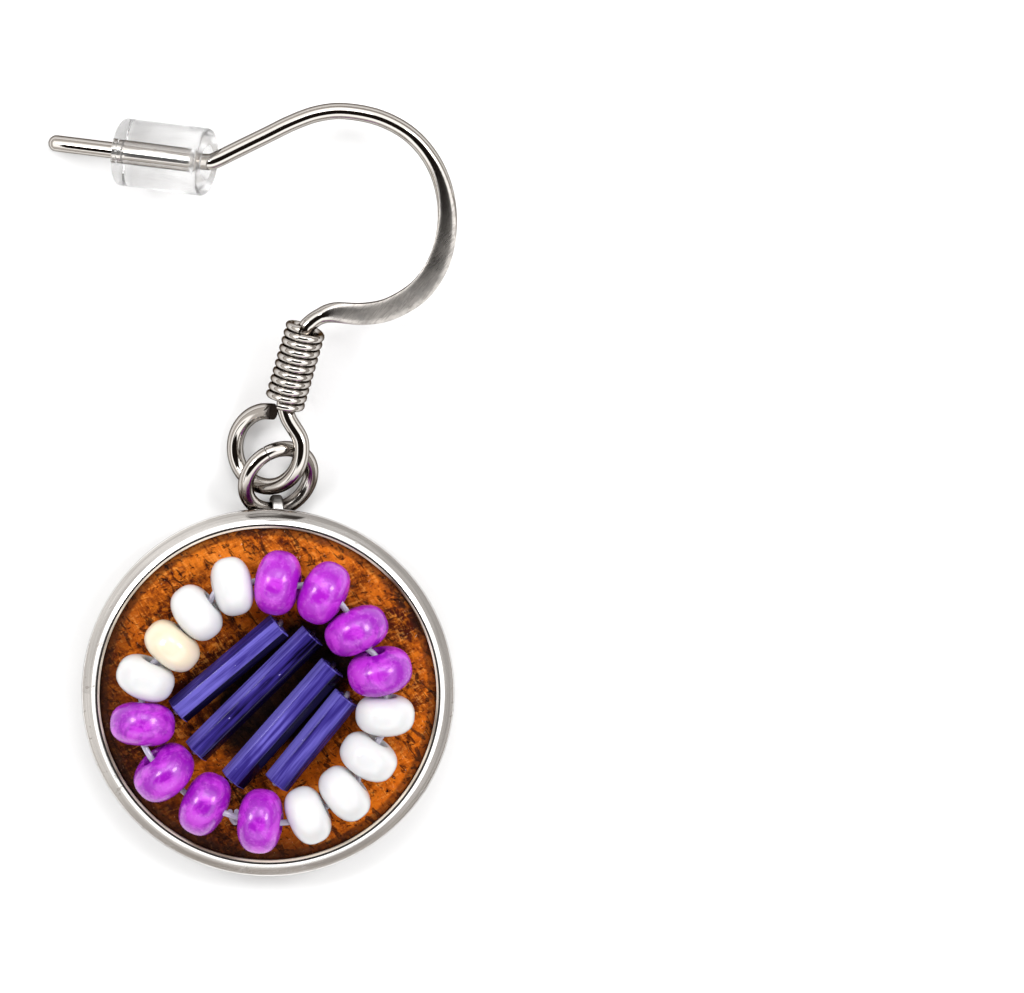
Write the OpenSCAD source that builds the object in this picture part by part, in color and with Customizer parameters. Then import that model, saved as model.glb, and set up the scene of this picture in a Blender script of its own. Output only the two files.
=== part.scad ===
// Beaded hook earring, lying face up. Millimetres.
// +Z is up out of the disc's face, +Y points to the hook, and the origin is the
// middle of the tray's flat back, on the surface that the earring lies on.

/* [Tray] */
// Outer diameter of the rim
rim_d = 18; // [17.8:0.1:18.4]
// Height of the tray from its back to the top of its rim
tray_h = 2.4; // [2.3:0.1:2.5]
// Thickness of the tray's back
tray_back = 0.5; // [0.3:0.1:0.7]
// Width of the soldered bail along its hole
bail_w = 0.72; // [0.5:0.02:0.8]
// Radius of the bail's hole
bail_hole_r = 0.5; // [0.49:0.01:0.51]

/* [Backing disc] */
// Diameter of the leather disc
disc_d = 16.3; // [16.1:0.1:16.3]
// How far the disc's face lies below the top of the rim
disc_drop = 0.25; // [0.2:0.05:0.4]

/* [Round beads] */
// Diameter of a violet bead
violet_d = 3.15; // [3.0:0.05:3.15]
// Length of a violet bead along its hole
violet_l = 2.06; // [2.0:0.02:2.08]
// Diameter of a white or cream bead
white_d = 2.85; // [2.7:0.05:2.85]
// Length of a white or cream bead along its hole
white_l = 1.88; // [1.8:0.02:1.90]
// Diameter of the hole in every round bead
bead_hole_d = 0.9; // [0.8:0.05:1.0]

/* [Bugle beads] */
// Width of a six-sided bugle bead over its corners
bugle_w = 1.38; // [1.2:0.02:1.4]
// Diameter of its hole
bugle_hole_d = 0.6; // [0.55:0.05:0.7]

/* [Thread] */
// Diameter of the clear filament
thread_d = 0.3; // [0.2:0.05:0.3]

/* [Jump ring] */
// Diameter of the ring's wire
ring_wire_d = 0.75; // [0.7:0.01:0.76]
// Diameter of the ring, measured along the middle of its wire
ring_d = 3.4; // [3.38:0.01:3.42]
// Slope of the ring, which rises towards the hook
ring_tilt = 22; // [21:0.5:22.5]
// Slope of the ring to the side, which lifts its left part over the eye
ring_roll = 23.5; // [23:0.5:24]

/* [Coil] */
// Diameter of the coil's wire
coil_wire_d = 0.38; // [0.34:0.02:0.38]
// Diameter of the coil, measured along the middle of its wire
coil_d = 1.62; // [1.6:0.02:1.7]
// Number of turns
coil_turns = 10; // [8:1:10]

/* [Hook] */
// Diameter of the ear wire
wire_d = 0.8; // [0.78:0.01:0.82]
// Height of the round tip above the surface that it rests on
tip_lift = 0.05; // [0:0.05:0.2]

/* [Stopper] */
// Outer diameter of the clear stopper
stopper_d = 3.28; // [3.0:0.02:3.3]
// Length of the stopper
stopper_l = 4.4; // [4.0:0.1:4.5]
// Running gap between the stopper's bore and the wire, on the radius
stopper_gap = 0.06; // [0.03:0.01:0.08]

/* [Hidden] */
// Clear space that loose pieces keep from each other
gap = 0.1;

// Rows for the round beads, clockwise from the top left. Columns: x and y of the
// middle, turn of the hole's axis, rise of the axis, and 1 for violet, 0 for white
// and 2 for cream.
BEADS = [
    [-1.73, 5.50, 11, -5, 0],
    [0.465, 5.70, -9, 9, 1],
    [2.68, 5.205, -27, 9, 1],
    [4.27, 3.36, -65, 6, 1],
    [5.39, 1.36, -77, -10, 1],
    [5.65, -0.79, -92, -4, 0],
    [4.85, -2.84, -121, -6, 0],
    [3.69, -4.64, -142, 0, 0],
    [1.92, -5.70, -156, 0, 0],
    [-0.38, -5.96, -185, -8, 1],
    [-3.05, -5.12, -205, -8, 1],
    [-5.02, -3.58, -228, 12, 1],
    [-6.05, -1.21, -273, -9, 1],
    [-5.92, 1.01, -293, 6, 0],
    [-4.63, 2.59, -309, 0, 2],
    [-3.45, 4.21, -322, 5, 0]
];

// Rows for the bugle beads. Columns: x and y of the middle, length, turn, and roll
// about the bead's own axis.
BUGLES = [
    [-1.91, 1.36, 6.45, 40.7, 26],
    [-0.67, 0.14, 8.0, 45.2, 34],
    [0.70, -1.34, 7.32, 48.9, 23],
    [2.09, -2.15, 5.4, 51.3, 31]
];

// Middle of the bow, and the rows along it. Columns: angle round the middle,
// distance from it, width of the wire in the bow's plane, thickness across it, and
// height. The wire is hammered flat on the outer lower part.
bow_mid = [3.72, 23.62];
BOW = [
    [105, 5.08, 0.80, 0.80, 3.05],
    [90, 5.02, 0.80, 0.80, 3.00],
    [70, 4.97, 0.80, 0.80, 2.95],
    [50, 4.97, 0.80, 0.80, 2.88],
    [30, 4.93, 0.83, 0.78, 2.80],
    [10, 4.91, 0.90, 0.70, 2.75],
    [-10, 4.98, 1.00, 0.62, 2.70],
    [-29, 5.14, 1.09, 0.54, 2.65],
    [-47, 5.25, 1.14, 0.50, 2.60],
    [-65, 5.20, 1.10, 0.52, 2.55],
    [-80, 5.06, 1.06, 0.53, 2.50],
    [-96, 4.95, 0.98, 0.58, 2.45]
];

// Straight tail, from the middle of the round tip to the bend
tail_tip = [-10.20, 26.64, wire_d / 2 + tip_lift];
tail_end = [-3.14, 26.20, 3.20];
tail_l = norm(tail_end - tail_tip);
tail_dir = (tail_end - tail_tip) / tail_l;

// Points of the bend between the tail and the straight rise, and the rise's foot
BEND = [
    [-2.78, 26.21, 3.32],
    [-2.44, 26.34, 3.36],
    [-2.05, 26.53, 3.35]
];
rise_foot = [-1.30, 26.90, 3.30];
rise_top = [1.18, 28.10, 3.12];

// Axis of the coil and of the stem inside it, from its lower end to its neck
stem_foot = [0.81, 14.27, 2.10];
stem_neck = [1.81, 17.86, 2.40];
stem_dir = (stem_neck - stem_foot) / norm(stem_neck - stem_foot);
coil_pitch = norm(stem_neck - stem_foot) / (coil_turns - 0.5);
// Points between the bow and the neck
NECK = [
    [2.50, 18.50, 2.42],
    [2.02, 18.16, 2.42]
];

// Open eye: its middle, its half width and half height, the slope of its width,
// which lifts its right side, and the lean of its width in plan
eye_mid = [0.01, 11.86, 1.45];
eye_half_w = 1.60;
eye_half_h = 1.85;
eye_slope = 32.4;
eye_lean = 4.2;
eye_start = 20;
eye_end = -279;
eye_steps = 16;
// Point between the coil and the eye
eye_lead = [0.97, 13.50, 2.22];

disc_top = tray_h - disc_drop;
pocket_r = disc_d / 2 + gap;

// Foot of the tray's wall. Columns: inset from the rim's outer edge, and height.
FOOT = [
    [1.10, 0],
    [0.88, 0.08],
    [0.78, 0.30]
];
// Wall under the rim, which flares out. Columns: inset from the rim's outer edge, and
// depth below its top.
FLARE = [
    [0.70, 1.25],
    [0.54, 0.93],
    [0.20, 0.72]
];
// Rim: a long bevel and a flatter one, up to a round crest. Columns: inset from its outer edge, and
// depth below its top.
RIM = [
    [0, 0.55],
    [0.03, 0.45],
    [0.10, 0.38],
    [0.46, 0.114],
    [0.50, 0.09],
    [0.70, 0.009],
    [0.735, 0]
];
// Step of the pocket: how far it goes in, and the depths where it starts and ends
step_in = 0.3;
step_top = 0.75;
step_foot = 1.1;

// Place of the bail and of the ring's lowest part, which passes through it
bail_turn = 2.7;
bail_out = 0.02;
ring_start_r = 8.79;
ring_start_z = 0.71;

bead_z = disc_top + gap;
bugle_z = disc_top + gap + bugle_w / 2;

function is_violet(bead) = bead[4] == 1;
function bead_d(bead) = is_violet(bead) ? violet_d : white_d;
function bead_l(bead) = is_violet(bead) ? violet_l : white_l;
function bead_mid(bead) = [bead[0], bead[1], bead_z + bead_d(bead) / 2];
function direction(turn, rise) =
    [cos(rise) * cos(turn), cos(rise) * sin(turn), sin(rise)];
function two_digits(i) = str(i < 10 ? "0" : "", i);
function numbered(name, i) = str(name, "_", two_digits(i));
function between(a, b, t) = a * (1 - t) + b * t;

BEAD_NODES = [for (i = [1:len(BEADS)]) numbered("bead", i)];
BUGLE_NODES = [for (i = [1:len(BUGLES)]) numbered("bugle", i)];
BUGLE_THREAD_NODES = [for (i = [1:len(BUGLES)]) numbered("bugle_thread", i)];

// Turns an upright piece so that its own +Z points along a direction
module point_along(dir) {
    rotate([0, acos(dir[2] / norm(dir)), atan2(dir[1], dir[0])]) children();
}

// Smooth curve through the rows of a table, at a place t between rows b and c
function blend_rows(a, b, c, d, t) =
    0.5 * (2 * b + (c - a) * t + (2 * a - 5 * b + 4 * c - d) * t * t
        + (3 * b - a - 3 * c + d) * t * t * t);
function smooth_rows(rows, steps) = [
    for (i = [0:len(rows) - 2], s = [0:steps - 1])
        blend_rows(rows[max(i - 1, 0)], rows[i], rows[i + 1],
            rows[min(i + 2, len(rows) - 1)], s / steps),
    rows[len(rows) - 1]
];

// Swept wire. A row is x, y, z, width and thickness. Its section is round, or round
// with two hammered flats where the thickness is less than the width.
function place(row) = [row[0], row[1], row[2]];
function heading(rows, i, closed) =
    let (n = len(rows))
    closed
        ? place(rows[(i + 1) % n]) - place(rows[(i + n - 1) % n])
        : place(rows[min(i + 1, n - 1)]) - place(rows[max(i - 1, 0)]);
function unit(v) = v / norm(v);
function section(row, dir, sides) =
    let (
        side = unit(cross(dir, [0, 0, 1])),
        lift = unit(cross(side, dir)),
        half_w = row[3] / 2,
        half_t = row[4] / 2
    )
    [for (k = [0:sides - 1])
        let (a = 360 * (k + 0.5) / sides)
        place(row) + side * half_w * cos(a)
            + lift * max(-half_t, min(half_t, half_w * sin(a)))
    ];
module sweep_wire(rows, sides, closed = false) {
    n = len(rows);
    points = [
        for (i = [0:n - 1]) each section(rows[i], heading(rows, i, closed), sides)
    ];
    walls = [
        for (i = [0:closed ? n - 1 : n - 2], k = [0:sides - 1])
            let (
                here = i * sides,
                next = ((i + 1) % n) * sides,
                k2 = (k + 1) % sides
            )
            each [
                [here + k, here + k2, next + k2],
                [here + k, next + k2, next + k]
            ]
    ];
    start_face = [for (k = [0:sides - 1]) sides - 1 - k];
    end_face = [for (k = [0:sides - 1]) (n - 1) * sides + k];
    polyhedron(points, closed ? walls : concat(walls, [start_face, end_face]));
}

// Tray with a bevelled rim. Its wall steps in below the rim, so that the ring's wire
// passes under the rim. The bail is soldered to the wall.
module bezel() {
    rim_r = rim_d / 2;
    lip = 0.03;
    profile = concat(
        [[0, 0]],
        [for (row = FOOT) [rim_r - row[0], row[1]]],
        [for (row = FLARE) [rim_r - row[0], tray_h - row[1]]],
        [for (row = RIM) [rim_r - row[0], tray_h - row[1]]],
        [[pocket_r, tray_h - lip], [pocket_r, tray_h - step_top],
            [pocket_r - step_in, tray_h - step_foot], [pocket_r - step_in, tray_back],
            [0, tray_back]]
    );
    color([0.80, 0.79, 0.77]) {
        rotate_extrude($fn = 96) polygon(profile);
        at_ring_start() translate([0, bail_out, 0]) rotate([0, 90, 0]) bail();
    }
}

// Puts a piece at the ring's lowest part, with +X along the ring's wire there
module at_ring_start() {
    rotate([0, 0, -bail_turn]) translate([0, ring_start_r, ring_start_z])
        rotate([ring_tilt, 0, 0]) rotate([0, ring_roll, 0]) children();
}

// Small closed loop with worn round shoulders
module bail() {
    strap = 0.18;
    shoulder = 0.12;
    shoulder_l = 0.18;
    outer = bail_hole_r + strap;
    half_w = bail_w / 2;
    rotate_extrude($fn = 48) polygon([
        [bail_hole_r, -half_w + shoulder / 2],
        [bail_hole_r + shoulder / 2, -half_w],
        [outer - shoulder, -half_w],
        [outer, -half_w + shoulder_l],
        [outer, half_w - shoulder_l],
        [outer - shoulder, half_w],
        [bail_hole_r + shoulder / 2, half_w],
        [bail_hole_r, half_w - shoulder / 2]
    ]);
}

// Leather disc, trimmed narrower where the tray's wall steps in
module backing_disc() {
    foot_r = disc_d / 2 - step_in;
    edge = 0.08;
    color([0.62, 0.33, 0.12]) rotate_extrude($fn = 96) polygon([
        [0, tray_back + gap],
        [foot_r, tray_back + gap],
        [foot_r, tray_h - step_foot + gap / 2],
        [disc_d / 2, tray_h - step_top + gap],
        [disc_d / 2, disc_top - edge],
        [disc_d / 2 - edge, disc_top],
        [0, disc_top]
    ]);
}

// Round bead: full round sides, flatter ends and a drilled hole with a soft mouth
module round_bead(bead) {
    half_l = bead_l(bead) / 2;
    radius = bead_d(bead) / 2;
    hole_r = bead_hole_d / 2;
    mouth = 0.12;
    fullness = 2.5;
    last = 66;
    steps = 12;
    side = [
        for (i = [0:steps])
            let (a = last * (2 * i / steps - 1))
            [radius * pow(cos(a), 2 / fullness),
                half_l * sign(a) * pow(abs(sin(a)), 2 / fullness)]
    ];
    end_l = half_l * pow(1 - pow((hole_r + mouth) / radius, fullness), 1 / fullness);
    profile = concat(
        side,
        [[hole_r + mouth, end_l], [hole_r, end_l - mouth], [hole_r, mouth - end_l],
            [hole_r + mouth, -end_l]]
    );
    tint = [[0.95, 0.95, 0.94], [0.70, 0.24, 0.84], [0.97, 0.91, 0.76]];
    color(tint[bead[4]]) translate(bead_mid(bead))
        point_along(direction(bead[2], bead[3]))
            rotate_extrude($fn = 64) polygon(profile);
}

// Six-sided bugle bead, cut square at both ends and drilled along its length
module bugle_bead(bugle) {
    color([0.17, 0.13, 0.45]) translate([bugle[0], bugle[1], bugle_z])
        point_along(direction(bugle[3], 0)) rotate([0, 0, bugle[4]])
            difference() {
                cylinder(d = bugle_w, h = bugle[2], center = true, $fn = 6);
                cylinder(d = bugle_hole_d, h = bugle[2] + 2, center = true, $fn = 32);
            }
}

// Filament through all the round beads, along the middle of each hole
module bead_thread() {
    in_hole = 0.36;
    rows = [
        for (bead = BEADS, s = [-1, 1])
            let (
                along = direction(bead[2], bead[3]),
                p = bead_mid(bead) + s * in_hole * bead_l(bead) * along
            )
            [p[0], p[1], p[2], thread_d, thread_d]
    ];
    color([0.80, 0.76, 0.86]) sweep_wire(rows, 8, true);
}

// Filament through one bugle bead, turned down to the disc at both ends
module bugle_thread(bugle) {
    half_l = bugle[2] / 2;
    low = disc_top + thread_d / 2 + gap / 2;
    drop = bugle_z - low;
    // Columns: distance past the bead's end, and share of the drop
    turn_down = [[-0.30, 0], [0.10, 0.05], [0.26, 0.45], [0.32, 1]];
    along = direction(bugle[3], 0);
    steps = len(turn_down);
    reach = concat(
        [for (i = [0:steps - 1])
            let (s = turn_down[steps - 1 - i]) [-half_l - s[0], s[1]]],
        [for (s = turn_down) [half_l + s[0], s[1]]]
    );
    rows = [
        for (r = reach)
            [bugle[0] + r[0] * along[0], bugle[1] + r[0] * along[1],
                bugle_z - r[1] * drop, thread_d, thread_d]
    ];
    color([0.80, 0.76, 0.86]) sweep_wire(rows, 8);
}

// Open ring, cut and pushed shut, through the bail and through the eye
module jump_ring() {
    cut_gap = 1.5;
    cut_place = 112;
    color([0.80, 0.79, 0.77]) at_ring_start() translate([0, ring_d / 2, 0])
        rotate([0, 0, cut_place + cut_gap / 2])
            rotate_extrude(angle = 360 - cut_gap, $fn = 64)
                translate([ring_d / 2, 0]) circle(d = ring_wire_d, $fn = 32);
}

// One wire: rounded tail, bend, rise, hammered bow, neck, stem and open eye
module ear_hook() {
    bow_rows = [
        for (b = BOW)
            [bow_mid[0] + b[1] * cos(b[0]), bow_mid[1] + b[1] * sin(b[0]), b[4],
                b[2], b[3]]
    ];
    wide = [
        for (i = [0:eye_steps])
            let (a = eye_start + (eye_end - eye_start) * i / eye_steps)
            eye_mid
                + eye_half_w * cos(a) * [1, tan(eye_lean), tan(eye_slope)]
                + eye_half_h * sin(a) * [0, 1, 0]
    ];
    // The swept part starts inside the tail, a little thinner than the wire
    root_in = 0.3;
    root_out = 0.1;
    root_share = 0.8;
    root = tail_end - root_in * tail_dir;
    plain = concat(
        [tail_end + root_out * tail_dir],
        BEND,
        [for (t = [0:0.5:1]) between(rise_foot, rise_top, t)]
    );
    lower = concat(
        NECK,
        [for (t = [0:0.25:1]) between(stem_neck, stem_foot, t)],
        [eye_lead],
        wide
    );
    rows = smooth_rows(concat(
        [for (p = plain) [p[0], p[1], p[2], wire_d, wire_d]],
        bow_rows,
        [for (p = lower) [p[0], p[1], p[2], wire_d, wire_d]]
    ), 2);
    start = concat(root, [root_share * wire_d, root_share * wire_d]);
    color([0.78, 0.76, 0.74]) {
        translate(tail_tip) point_along(tail_dir) tail();
        sweep_wire(concat([start], rows), 12);
    }
}

// Straight round tail with a smoothed tip
module tail() {
    r = wire_d / 2;
    steps = 6;
    tip = [for (i = [0:steps]) [r * sin(90 * i / steps), -r * cos(90 * i / steps)]];
    rotate_extrude($fn = 48) polygon(concat(tip, [[r, tail_l], [0, tail_l]]));
}

// Close-wound coil round the stem
module hook_coil() {
    per_turn = 12;
    side = unit(cross(stem_dir, [0, 0, 1]));
    lift = cross(side, stem_dir);
    r = coil_wire_d / 2;
    sides = 6;
    first_angle = 110;
    count = coil_turns * per_turn;
    stem_mid = (stem_foot + stem_neck) / 2;
    points = [
        for (i = [0:count])
            let (
                a = first_angle - 360 * i / per_turn,
                out = side * cos(a) + lift * sin(a),
                along = (i / per_turn - coil_turns / 2) * coil_pitch
            )
            for (k = [0:sides - 1])
                let (b = 360 * k / sides)
                stem_mid + stem_dir * (along - r * sin(b))
                    + out * (coil_d / 2 + r * cos(b))
    ];
    walls = [
        for (i = [0:count - 1], k = [0:sides - 1])
            let (
                here = i * sides,
                next = here + sides,
                k2 = (k + 1) % sides
            )
            each [
                [here + k, here + k2, next + k2],
                [here + k, next + k2, next + k]
            ]
    ];
    start_face = [for (k = [0:sides - 1]) sides - 1 - k];
    end_face = [for (k = [0:sides - 1]) count * sides + k];
    color([0.80, 0.79, 0.77])
        polyhedron(points, concat(walls, [start_face, end_face]));
}

// Clear tube with soft edges and a funnel at the end that meets the bend
module ear_stopper() {
    r = stopper_d / 2;
    bore = wire_d / 2 + stopper_gap;
    edge = 0.16;
    worn = 0.3 * edge;
    mouth_r = 0.85;
    mouth_l = 0.7;
    top = 0.2;
    foot = top - stopper_l;
    color([0.85, 0.88, 0.90, 0.5]) translate(tail_end) point_along(tail_dir)
        rotate_extrude($fn = 64) polygon([
            [bore, foot + edge / 2],
            [bore + edge / 2, foot],
            [r - edge, foot],
            [r - worn, foot + worn],
            [r, foot + edge],
            [r, top - edge],
            [r - worn, top - worn],
            [r - edge, top],
            [mouth_r, top],
            [bore, top - mouth_l]
        ]);
}

bezel();
backing_disc();
bead_thread();
jump_ring();
ear_hook();
hook_coil();
ear_stopper();
for (i = [0:len(BEADS) - 1]) {
    round_bead(BEADS[i]);
}
for (i = [0:len(BUGLES) - 1]) {
    bugle_bead(BUGLES[i]);
    bugle_thread(BUGLES[i]);
}
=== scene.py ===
from math import acos, atan2, cos, hypot, pi, radians, sin, tan

import bpy
from mathutils import Matrix, Vector


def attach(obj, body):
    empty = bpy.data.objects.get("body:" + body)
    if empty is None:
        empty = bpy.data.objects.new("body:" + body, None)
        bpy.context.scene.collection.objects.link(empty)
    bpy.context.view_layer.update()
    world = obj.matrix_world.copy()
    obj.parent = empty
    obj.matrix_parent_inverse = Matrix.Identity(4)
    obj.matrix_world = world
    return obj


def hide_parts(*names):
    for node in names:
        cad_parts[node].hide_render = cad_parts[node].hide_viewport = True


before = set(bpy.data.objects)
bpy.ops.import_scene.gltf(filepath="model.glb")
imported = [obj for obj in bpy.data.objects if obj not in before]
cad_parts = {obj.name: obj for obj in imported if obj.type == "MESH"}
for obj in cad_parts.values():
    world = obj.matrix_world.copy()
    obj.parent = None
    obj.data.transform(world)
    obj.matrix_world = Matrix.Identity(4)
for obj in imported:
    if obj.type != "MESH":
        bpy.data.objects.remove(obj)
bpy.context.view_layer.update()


# Tray: a round steel cup, turned from sheet. Its rim is a long bevel and a flatter one,
# up to a round crest, whose inner side holds the disc. A small bail of flat wire is
# soldered to the wall under the rim, on the side of the hook.
MM = 0.001


def start_afresh():
    """Leaves nothing selected, so that the next steps act on their own piece alone."""
    if bpy.context.object and bpy.context.object.mode != "OBJECT":
        bpy.ops.object.mode_set(mode="OBJECT")
    bpy.ops.object.select_all(action="DESELECT")


def choose(*pieces):
    """Selects these pieces, the first of them as the active one."""
    start_afresh()
    for piece in pieces:
        piece.select_set(True)
    bpy.context.view_layer.objects.active = pieces[0]


def close_up(piece, smooth_below=35):
    """Merges what meets, closes open ends, turns the faces outwards and smooths them."""
    choose(piece)
    bpy.ops.object.mode_set(mode="EDIT")
    bpy.ops.mesh.select_all(action="SELECT")
    bpy.ops.mesh.remove_doubles(threshold=0.0005 * MM)
    bpy.ops.mesh.fill_holes(sides=0)
    bpy.ops.mesh.select_all(action="SELECT")
    bpy.ops.mesh.normals_make_consistent(inside=False)
    bpy.ops.object.mode_set(mode="OBJECT")
    bpy.ops.object.shade_smooth_by_angle(angle=radians(smooth_below))


def turned(name, outline, sides, bored):
    """A piece turned about Z. The outline's columns are radius and height, in mm. A
    bored piece joins its last ring to its first, and another has flat ends."""
    start_afresh()
    radius, height = outline[0]
    bpy.ops.mesh.primitive_circle_add(vertices=sides, radius=radius * MM)
    piece = bpy.context.object
    piece.name = piece.data.name = name
    bpy.ops.object.mode_set(mode="EDIT")
    bpy.ops.mesh.select_all(action="SELECT")
    bpy.ops.transform.translate(value=(0, 0, height * MM))
    for next_radius, next_height in outline[1:] + outline[:1] * bored:
        bpy.ops.mesh.extrude_region_move(
            TRANSFORM_OT_translate={"value": (0, 0, (next_height - height) * MM)})
        grow = next_radius / radius
        bpy.ops.transform.resize(
            value=(grow, grow, 1), center_override=(0, 0, next_height * MM))
        radius, height = next_radius, next_height
    bpy.ops.object.mode_set(mode="OBJECT")
    close_up(piece)
    return piece


def put(piece, where):
    """Moves a piece to its place, and leaves the place in its mesh."""
    choose(piece)
    piece.matrix_world = where
    bpy.ops.object.transform_apply(location=True, rotation=True, scale=True)


def shift(x, y, z):
    return Matrix.Translation(Vector((x, y, z)) * MM)


def turn(degrees, axis):
    return Matrix.Rotation(radians(degrees), 4, axis)


class Flow:
    """What runs from one shader node to the next. Sums on it add Math nodes."""

    def __init__(self, tree, socket=None):
        self.tree, self.socket = tree, socket

    def node(self, kind, sockets=(), out=0, **settings):
        """A new shader node, whose sockets are fed by flows or set to plain values."""
        made = self.tree.nodes.new("ShaderNode" + kind)
        for setting, value in settings.items():
            setattr(made, setting, value)
        for name, value in dict(sockets).items():
            if isinstance(value, Flow):
                self.tree.links.new(value.socket, made.inputs[name])
            else:
                made.inputs[name].default_value = value
        return Flow(self.tree, made.outputs[out])

    def math(self, operation, a, b=0.0):
        return self.node("Math", {0: a, 1: b}, operation=operation)

    def __add__(self, other):
        return self.math("ADD", self, other)

    __radd__ = __add__

    def __mul__(self, other):
        return self.math("MULTIPLY", self, other)

    __rmul__ = __mul__

    def __sub__(self, other):
        return self.math("SUBTRACT", self, other)

    def __rsub__(self, other):
        return self.math("SUBTRACT", other, self)

    def __pow__(self, other):
        return self.math("POWER", self, other)

    def size(self):
        return self.math("ABSOLUTE", self)

    def above(self, low, high):
        """0 below low and 1 above high, with a soft step between."""
        return self.node("MapRange", {"Value": self, "From Min": low, "From Max": high},
                         interpolation_type="SMOOTHSTEP")

    def mix(self, low, high):
        """Blends two colours, by this value from 0 to 1."""
        low, high = (c if isinstance(c, Flow) else (*c, 1) for c in (low, high))
        return self.node("Mix", {0: self, 6: low, 7: high}, out=2, data_type="RGBA")

    def axis(self, name):
        return self.node("SeparateXYZ", {0: self}, out=name)

    def length(self):
        return self.node("VectorMath", {0: self}, out="Value", operation="LENGTH")

    def away_from(self, point):
        return self.node("VectorMath", {0: self, 1: point}, out="Value",
                         operation="DISTANCE")

    def normal(self):
        """The way that the surface faces at this place."""
        return self.node("NewGeometry", out="Normal")

    def drawn_out(self, long, lie=0, middle=(0, 0, 0)):
        """This place as seen from a middle in mm, on a ground that is drawn out by long
        after a turn of lie degrees about Z."""
        return self.node("Mapping", {"Vector": self, "Location": Vector(middle) * MM,
                                     "Rotation": (0, 0, radians(lie)), "Scale": long},
                         vector_type="TEXTURE")

    def grain(self, size, detail=3.0, rough=0.5, long=(1, 1, 1), lie=0, swirl=0.0):
        """Cloudy noise on this place, with blotches of about that size in mm before
        they are drawn out."""
        return self.node("TexNoise", {"Vector": self.drawn_out(long, lie),
                                      "Scale": 0.5 / (size * MM), "Detail": detail,
                                      "Roughness": rough, "Distortion": swirl})


class Finish:
    """A material with one Principled shader, whose plain values are set on it."""

    def __init__(self, name, **values):
        self.material = bpy.data.materials.new(name)
        self.material.use_nodes = True
        self.tree = self.material.node_tree
        self.shader = self.tree.nodes["Principled BSDF"]
        for socket, value in values.items():
            value = (*value, 1) if isinstance(value, tuple) and len(value) == 3 else value
            self.shader.inputs[socket.replace("_", " ")].default_value = value
        self.place = Flow(self.tree).node("TexCoord", out="Object")

    def feed(self, socket, flow):
        self.tree.links.new(flow.socket, self.shader.inputs[socket])

    def bump(self, height, depth, strength=1.0):
        """Relief that is depth mm high."""
        self.feed("Normal", self.place.node(
            "Bump", {"Height": height, "Distance": depth * MM, "Strength": strength}))


def dress(piece, finish, slot, *nodes, body="earring"):
    """Gives a piece its finish, and puts it in the place of its plain solids."""
    piece.data.materials.clear()
    piece.data.materials.append(finish.material)
    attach(piece, body)
    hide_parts(*nodes)


RIM_R, TRAY_H, TRAY_BACK, POCKET_R, POCKET_FLOOR_R = 9.0, 2.4, 0.5, 8.25, 7.95
# Columns: inset from the rim's outer edge, and depth below its top
RIM = [
    (0, 0.56), (0.008, 0.51), (0.03, 0.468), (0.06, 0.437), (0.10, 0.402), (0.28, 0.259),
    (0.42, 0.147), (0.44, 0.132), (0.46, 0.117), (0.48, 0.1035), (0.50, 0.0924),
    (0.58, 0.0524), (0.64, 0.0224), (0.66, 0.0137), (0.68, 0.0073), (0.70, 0.0029),
    (0.72, 0.0005), (0.735, 0), (0.755, 0.001), (0.775, 0.005), (0.79, 0.011),
    (0.85, 0.035), (0.86, 0.041), (0.868, 0.052), (0.87, 0.075), (0.87, 0.20),
    (0.84, 0.25), (0.80, 0.27),
]
tray = turned("steel_tray", [
    (0.4, 0), (7.5, 0), (7.9, 0), (8.03, 0.025), (8.12, 0.08), (8.18, 0.17), (8.22, 0.3),
    (8.26, 0.7), (8.3, 1.15), (8.34, 1.3), (8.42, 1.43), (8.54, 1.54), (8.8, 1.68),
    (8.94, 1.77), *[(RIM_R - inset, TRAY_H - drop) for inset, drop in RIM],
    (POCKET_R, 2.1), (POCKET_R, 1.65), (POCKET_FLOOR_R, 1.3),
    (POCKET_FLOOR_R, TRAY_BACK), (0.4, TRAY_BACK),
], sides=256, bored=False)

BAIL_HOLE_R, BAIL_STRAP, BAIL_HALF_W, SHOULDER, HOLE_EDGE = 0.5, 0.18, 0.29, 0.17, 0.02
outer = BAIL_HOLE_R + BAIL_STRAP
shoulder_arc = [
    (outer - SHOULDER + SHOULDER * cos(radians(a)),
     BAIL_HALF_W - SHOULDER + SHOULDER * sin(radians(a)))
    for a in range(0, 91, 15)
]
bail_half = [*shoulder_arc, (BAIL_HOLE_R, BAIL_HALF_W - HOLE_EDGE)]
bail = turned("bail", bail_half + [(r, -z) for r, z in reversed(bail_half)],
              sides=64, bored=True)
# Where the jump ring starts, inside the bail: turn about the tray, distance from its
# middle, height, tilt and roll. The bail gives way to the ring and rolls part of the way.
RING_TURN, RING_START_R, RING_START_Z, RING_TILT, RING_ROLL = 2.7, 8.79, 0.71, 22, 23.5
BAIL_OUT, BAIL_ROLL = 0.02, 0.4 * RING_ROLL
at_bail = (turn(-RING_TURN, "Z") @ shift(0, RING_START_R, RING_START_Z)
           @ turn(RING_TILT, "X"))
at_ring_start = at_bail @ turn(RING_ROLL, "Y")
put(bail, at_bail @ turn(BAIL_ROLL, "Y") @ shift(0, BAIL_OUT, 0) @ turn(90, "Y"))

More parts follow.
